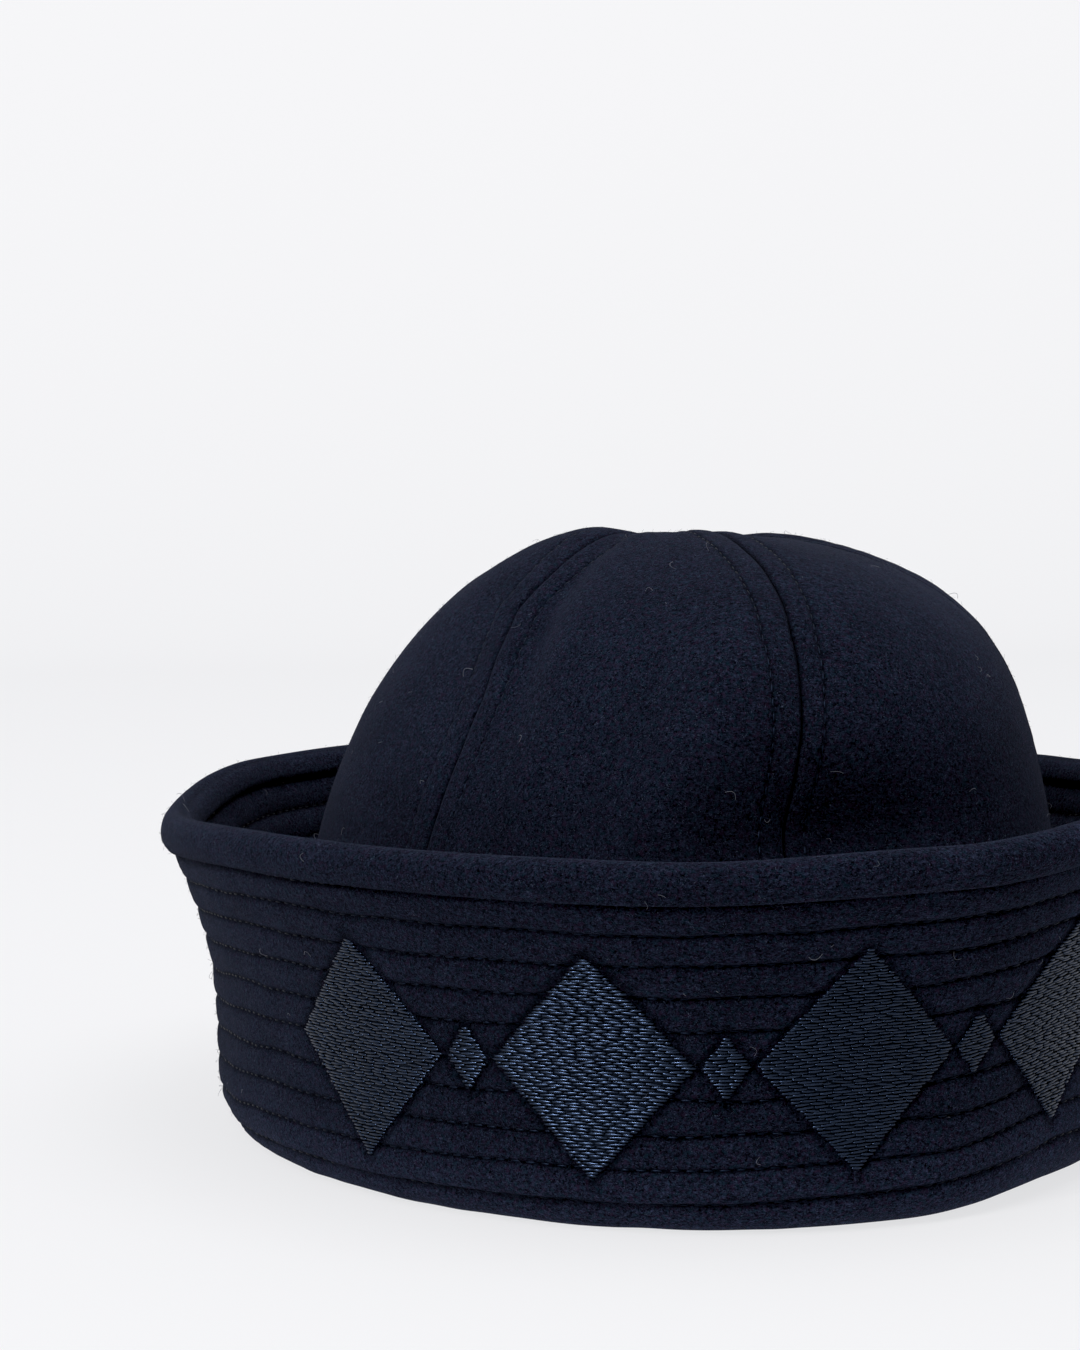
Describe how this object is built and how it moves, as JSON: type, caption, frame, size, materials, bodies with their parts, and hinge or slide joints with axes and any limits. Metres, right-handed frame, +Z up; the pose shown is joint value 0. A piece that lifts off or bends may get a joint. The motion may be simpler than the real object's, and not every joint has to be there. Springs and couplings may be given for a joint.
{
  "type": "sailor cap",
  "caption": "Brimmed sailor cap of dark navy wool: a round crown of sewn gores inside a turned-up brim quilted with rows of stitching and a rolled rim.",
  "frame": {"origin": "middle of the cap's box, on the surface that it rests on", "axes": "+Z up; the cap's front towards -Y; +X to the wearer's left"},
  "size_m": [0.2356, 0.2656, 0.1324],
  "materials": {
    "brim_wool": "matte felted wool, quilted",
    "crown_wool": "matte felted wool"
  },
  "bodies": {
    "root": {"brim": "brim_wool", "crown_panel_1": "crown_wool", "crown_panel_2": "crown_wool", "crown_panel_3": "crown_wool", "crown_panel_4": "crown_wool", "crown_panel_5": "crown_wool", "crown_panel_6": "crown_wool"}
  },
  "joints": []
}
